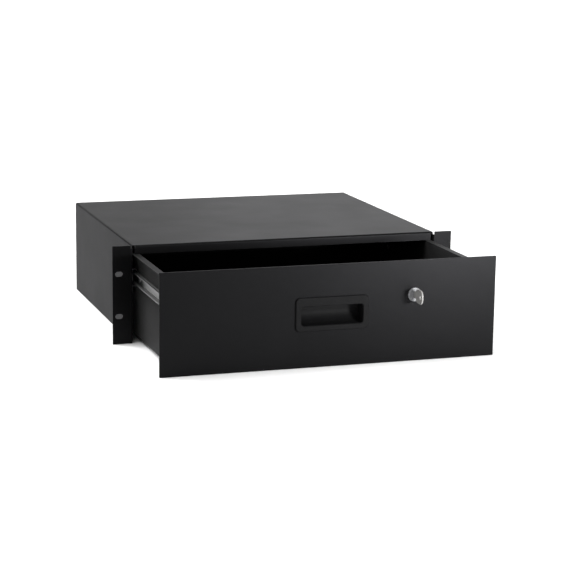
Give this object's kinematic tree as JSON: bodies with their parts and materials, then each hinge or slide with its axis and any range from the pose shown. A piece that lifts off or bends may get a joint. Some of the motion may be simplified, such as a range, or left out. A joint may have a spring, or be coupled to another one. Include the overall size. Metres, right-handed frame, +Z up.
{
  "type": "sliding rack drawer",
  "caption": "Sheet-metal rack drawer, three units high, on ball-bearing side slides, with a flush pull and a keyed cam lock that latches behind the case's front lip.",
  "frame": {"origin": "centre of the four rack slots, in the rear plane of the ears, which meets the rack", "axes": "+X to the viewer's right, +Y back into the rack (-Y is the front, the way the drawer opens), +Z up"},
  "size_m": [0.4826, 0.5814, 0.1324],
  "materials": {
    "powder_coat": "black semi-gloss powder coat",
    "black_screw": "black zinc",
    "zinc": "bright zinc plate",
    "cage_steel": "zinc-plated strip",
    "ball_steel": "polished",
    "rubber": "matt",
    "handle_plastic": "fine-grained moulding",
    "chrome": "bright plate",
    "lock_steel": "zinc plate",
    "key_nickel": "nickel plate, handled"
  },
  "bodies": {
    "case": {"case_shell": "powder_coat", "rear_panel": "powder_coat", "rear_screws": "black_screw", "rear_clinch_nuts": "zinc", "outer_rail_left": "zinc", "outer_rail_right": "zinc", "rail_bumpers": "rubber"},
    "cages": {"ball_cage_left": "cage_steel", "ball_cage_right": "cage_steel", "slide_balls": "ball_steel"},
    "drawer": {"drawer_tray": "powder_coat", "front_panel": "powder_coat", "panel_studs": "zinc", "panel_nuts": "zinc", "pull_handle": "handle_plastic", "inner_rail_left": "zinc", "inner_rail_right": "zinc", "inner_rail_screws": "zinc", "tray_clinch_nuts": "zinc", "lock_body": "chrome", "lock_nut": "lock_steel"},
    "plug": {"lock_plug": "chrome", "lock_cam": "lock_steel", "cam_screw": "lock_steel"},
    "key": {"lock_key": "key_nickel"}
  },
  "joints": [
    {"name": "drawer_slide", "type": "slide", "parent": "case", "child": "drawer", "axis": [0, -1, 0], "range_m": [-0.1834, 0.0766]},
    {"name": "cage_slide", "type": "slide", "parent": "case", "child": "cages", "axis": [0, -1, 0], "range_m": [-0.0917, 0.0383]},
    {"name": "lock_turn", "type": "hinge", "parent": "drawer", "child": "plug", "pos_m": [0.112, -0.1869, 0.02125], "axis": [0, 1, 0], "range_deg": [0, 90]},
    {"name": "key_pull", "type": "slide", "parent": "plug", "child": "key", "axis": [0, -1, 0], "range_m": [0, 0.014]}
  ],
  "couplings": [
    {"joint": "cage_slide", "follows": "drawer_slide", "ratio": 0.5}
  ]
}
